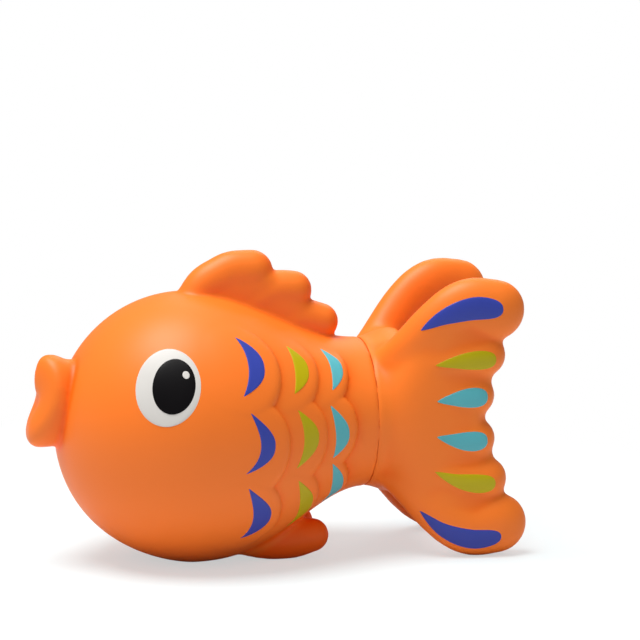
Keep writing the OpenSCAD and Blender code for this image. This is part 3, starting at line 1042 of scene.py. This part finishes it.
def palm_spread(side):
    """What a palm's row and a way round it mean as a place, on that side."""

    def spread(here, across, up):
        x, share, thick, high = here
        return mm * Vector(
            (seam_x + x, side * fan_y * share + thick * across, neck_z + high * up)
        )

    return spread


def hub_spread(here, across, up):
    x, wide, high = here
    return mm * Vector((seam_x + x, wide * across, neck_z + high * up))


tail_rings = 48
tail_voxel = 0.6 * mm
tail_passes = 30
tail_hollow_voxel = 0.8 * mm
tail_hollow_passes = 2
tail_wall = 2
hub_hollow_rows = [[2.3, 19, 19], [5.3, 19, 19], [8.3, 19, 19]]
palm_hollow_x = 3.3


def tail_form(name, hub, inset, fingers, voxel, passes):
    """The hub, its palms and their fingers in one skin, drawn in by inset mm."""
    parts = [shaped_ball("hub", 96, tail_rings, capped(hub, tail_rings, hub_spread))]
    rows = [[x, share, thick - inset, high - inset] for x, share, thick, high in palm_rows]
    if inset:
        rows = [[palm_hollow_x, *rows[2][1:]], *rows[3:6]]
    for side in (-1, 1):
        shape = capped(rows, tail_rings, palm_spread(side))
        parts.append(shaped_ball("palm", 64, tail_rings, shape))
        for way in (-1, 1):
            for stations in fingers:
                thinned = [
                    [x, z, high - inset, y, thick - inset]
                    for x, z, high, y, thick in fan_stations(stations, way, side)
                ]
                parts.append(finger("fan_finger", thinned))
        if not inset:
            parts.append(finger("fan_web", fan_stations(fan_web, 1, side), roundness=0.6))
    return weld(name, parts, voxel, passes)


tail_skin = tail_form("goldfish_tail", hub_rows, 0, fan_fingers, tail_voxel, tail_passes)
cut_flat(tail_skin, (body_length + tail_gap, 0, 0), (-1, 0, 0))
round_seam(tail_skin)

# The roots of the two fans melt into each other over the hub, in a saddle between its front and
# rear, most of all high and low between the fans.
saddle_passes = 90
saddle = tail_skin.vertex_groups.new(name="saddle")
for point in tail_skin.data.vertices:
    behind = point.co.x / mm - seam_x
    beside = abs(point.co.y) / mm
    away = abs(point.co.z - seam.z) / mm
    between = step_up(12, 17, away) * (1 - step_up(12, 18, beside))
    share = step_up(1.5, 5, behind) * (1 - step_up(12, 18, behind)) * max(0.6, between)
    if share > 0:
        saddle.add([point.index], share, "REPLACE")
modify(tail_skin, "SMOOTH", factor=0.5, iterations=saddle_passes, vertex_group="saddle")


def turned(name, profile, steps=96):
    """A closed ring turned about the neck's axis. The profile is rows of x and radius in mm."""
    corners = [(mm * x, 0, seam.z + mm * radius) for x, radius in profile]
    count = len(corners)
    ring = new_piece(name, corners, [(i, (i + 1) % count) for i in range(count)], [])
    select_only(ring)
    bpy.ops.object.mode_set(mode="EDIT")
    bpy.ops.mesh.select_all(action="SELECT")
    bpy.ops.mesh.spin(steps=steps, angle=2 * math.pi, center=(0, 0, seam.z), axis=(1, 0, 0))
    bpy.ops.object.mode_set(mode="OBJECT")
    turn_faces(ring, merge=True)
    return ring


# The plug turns in the neck's bore, and its flange holds it behind the body's end wall.
flange_front = seam_x - end_wall / mm - 0.3
flange_back = flange_front - 2
flange_radius = 16.5
flange_edge = 0.6
plug_bore = 10
plug_end = seam_x + 1.5
plug_profile = [
    (flange_back, plug_bore),
    (flange_back, flange_radius - flange_edge),
    (flange_back + flange_edge, flange_radius),
    (flange_front, flange_radius),
    (flange_front, plug_radius / mm),
    (plug_end, plug_radius / mm),
    (plug_end, plug_bore),
]
combine(tail_skin, "UNION", turned("plug", plug_profile))
tail_cavity = tail_form(
    "tail_cavity",
    hub_hollow_rows,
    tail_wall,
    fan_fingers[:1],
    tail_hollow_voxel,
    tail_hollow_passes,
)
hollow(tail_skin, tail_cavity)
drill(
    tail_skin,
    plug_bore * mm,
    (body_length - 2 * mm, 0, seam.z),
    (body_length + 6 * mm, 0, seam.z),
)


def tail_painted_shade(place, outward):
    """Painted shade: deeper orange on the faces that the two fans turn to each other, in the shade
    between them.
    """
    inward = -outward.y if place.y > 0 else outward.y
    away = step_up(neck_radius - 2 * mm, neck_radius + 3 * mm, abs(place.z - seam.z))
    return 1, fan_painted_shade * step_up(0.4, 1.0, inward) * away


# Painted shade on the tail: its valleys and the faces between the two fans.
fan_painted_shade = 0.4
tail_orange = (255, 128, 38)
tail_valley_depth = 0.5 * mm
tail_valley_rounds = 28
mark_painted_shade(tail_skin, tail_valley_depth, tail_valley_rounds, tail_painted_shade)
tail_skin.data.materials.clear()
tail_skin.data.materials.append(soft_vinyl("tail_vinyl", tail_orange, shade_orange))
smooth_shaded(tail_skin, 35)
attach(tail_skin, "tail")
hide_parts("tail_shell")
tail_finder = outer_tree(tail_skin)

# Drops: one printed along each finger on the outer face of a fan, pointed towards the hub.
# A row is the middle lines of the upper and the lower drop, [x behind the seam, height above the
# fan's axis], and their half widths.
drop_rows = [
    (
        "blue",
        [[12.1, 25.6], [18.5, 29.4], [26.5, 31.6], [34.6, 31.1]],
        [[12.1, -25.6], [18.5, -31.0], [26.5, -33.8], [34.6, -33.2]],
        (3.2, 2.85),
        blue_paint,
    ),
    (
        "green",
        [[15.9, 15.8], [22, 16.6], [28, 16.9], [33.1, 16.8]],
        [[15.9, -14.3], [22, -16.9], [28, -18.1], [33.1, -18.2]],
        (2.7, 2.7),
        green_paint,
    ),
    (
        "teal",
        [[16.3, 5.7], [21.5, 6.1], [26.5, 6.3], [31, 6.2]],
        [[16.3, -4.3], [21.5, -5.5], [26.5, -6.1], [31, -6.0]],
        (2.8, 2.8),
        teal_paint,
    ),
]
drop_peak = 0.7
drop_start = 12


def drop(line, widest, side, steps=36):
    """Rows of a drop along a line. It is widest at drop_peak, and drop_start mm outside the fan."""
    rows = []
    last = len(line) - 1
    for i in range(steps + 1):
        share = (1 - math.cos(math.pi * i / steps)) / 2
        if share < drop_peak:
            swell = math.sin(math.pi / 2 * share / drop_peak)
        else:
            swell = math.sqrt(max(0, 1 - ((share - drop_peak) / (1 - drop_peak)) ** 2))
        x, z = flowing(line, share * last)
        ahead = heading(line, max(0, share - 0.01) * last, min(1, share + 0.01) * last)
        half = max(0.05, widest * swell)
        row = []
        for edge in (-1, 1):
            start = Vector(
                (
                    seam_x + x - ahead.y * half * edge,
                    side * (fan_y + drop_start),
                    fan_z + z + ahead.x * half * edge,
                )
            )
            row.append((mm * start, Vector((0, -side, 0))))
        rows.append(row)
    return rows


for side, word in sides:
    for colour, upper, lower, halves, paint in drop_rows:
        film(
            f"printed_{colour}_drops_{word}",
            tail_finder,
            [drop(line, widest, side) for line, widest in zip((upper, lower), halves)],
            0,
            paint,
            "tail",
            f"{colour}_tail_drops_{word}",
            f"{colour}_paint",
        )


# Squeaker: a moulded white tube, flush with the belly pad, that holds a thin strip of film
# between a half-round trough and a clamp. Its CAD pieces keep their shape.
def moulded_plastic(name, colour, shade, roughness):
    finish = Finish(name)
    cloud = finish.noise(scale=400, detail=2)
    grain = finish.noise(scale=2500, detail=2)
    tint = finish.mix(cloud * 0.4, paint_box(*colour), paint_box(*shade))
    bump = finish.bump(grain, strength=0.05, distance=0.0001)
    return finish.shader(tint, roughness + 0.06 * cloud, bump)


squeaker_plastic = moulded_plastic("squeaker_plastic", (238, 235, 226), (226, 221, 208), 0.28)
reed_film = moulded_plastic("reed_plastic", (200, 183, 142), (186, 166, 120), 0.35)
for name, material in (
    ("squeaker_housing", squeaker_plastic),
    ("reed_holder", squeaker_plastic),
    ("reed_clamp", squeaker_plastic),
    ("squeaker_reed", reed_film),
):
    squeaker_part = frame["nodes"][name]
    squeaker_part.data.materials.clear()
    squeaker_part.data.materials.append(material)

# Floor: a plain white sheet that keeps the toy's shadow and melts into the white behind it. The
# camera sees paper with a glow, which takes over between shadow_end and white_start.
shadow_end, white_start = 0.09, 0.2
least_glow = 0.55
floor_gap = 0.05 * mm
bpy.ops.object.select_all(action="DESELECT")
bpy.ops.mesh.primitive_plane_add(size=8, location=(0, 0, -floor_gap))
floor = bpy.context.object
floor.name = "floor"
sheet = Finish("white_sheet")
place = sheet.out(sheet.node("ShaderNodeTexCoord"), "Object")
from_toy = sheet.out(
    sheet.node("ShaderNodeVectorMath", {"operation": "LENGTH"}, i0=place), "Value"
)
far = sheet.node(
    "ShaderNodeMapRange", None, Value=from_toy, From_Min=shadow_end, From_Max=white_start
)
bounce = sheet.node("ShaderNodeBsdfDiffuse", None, Color=paint_box(222, 224, 226))
paper = sheet.node("ShaderNodeBsdfDiffuse", None, Color=paint_box(232, 249, 252))
glow = sheet.node("ShaderNodeEmission", None, Color=(1, 1, 1, 1), Strength=1.0)
melt = sheet.node(
    "ShaderNodeMixShader",
    None,
    i0=least_glow + sheet.out(far, "Result") * (1 - least_glow),
    i1=sheet.out(paper, "BSDF"),
    i2=sheet.out(glow, "Emission"),
)
shown = sheet.node(
    "ShaderNodeMixShader",
    None,
    i0=sheet.out(sheet.node("ShaderNodeLightPath"), "Is Camera Ray"),
    i1=sheet.out(bounce, "BSDF"),
    i2=sheet.out(melt, "Shader"),
)
sheet.node("ShaderNodeOutputMaterial", None, Surface=sheet.out(shown, "Shader"))
floor.data.materials.append(sheet.material)
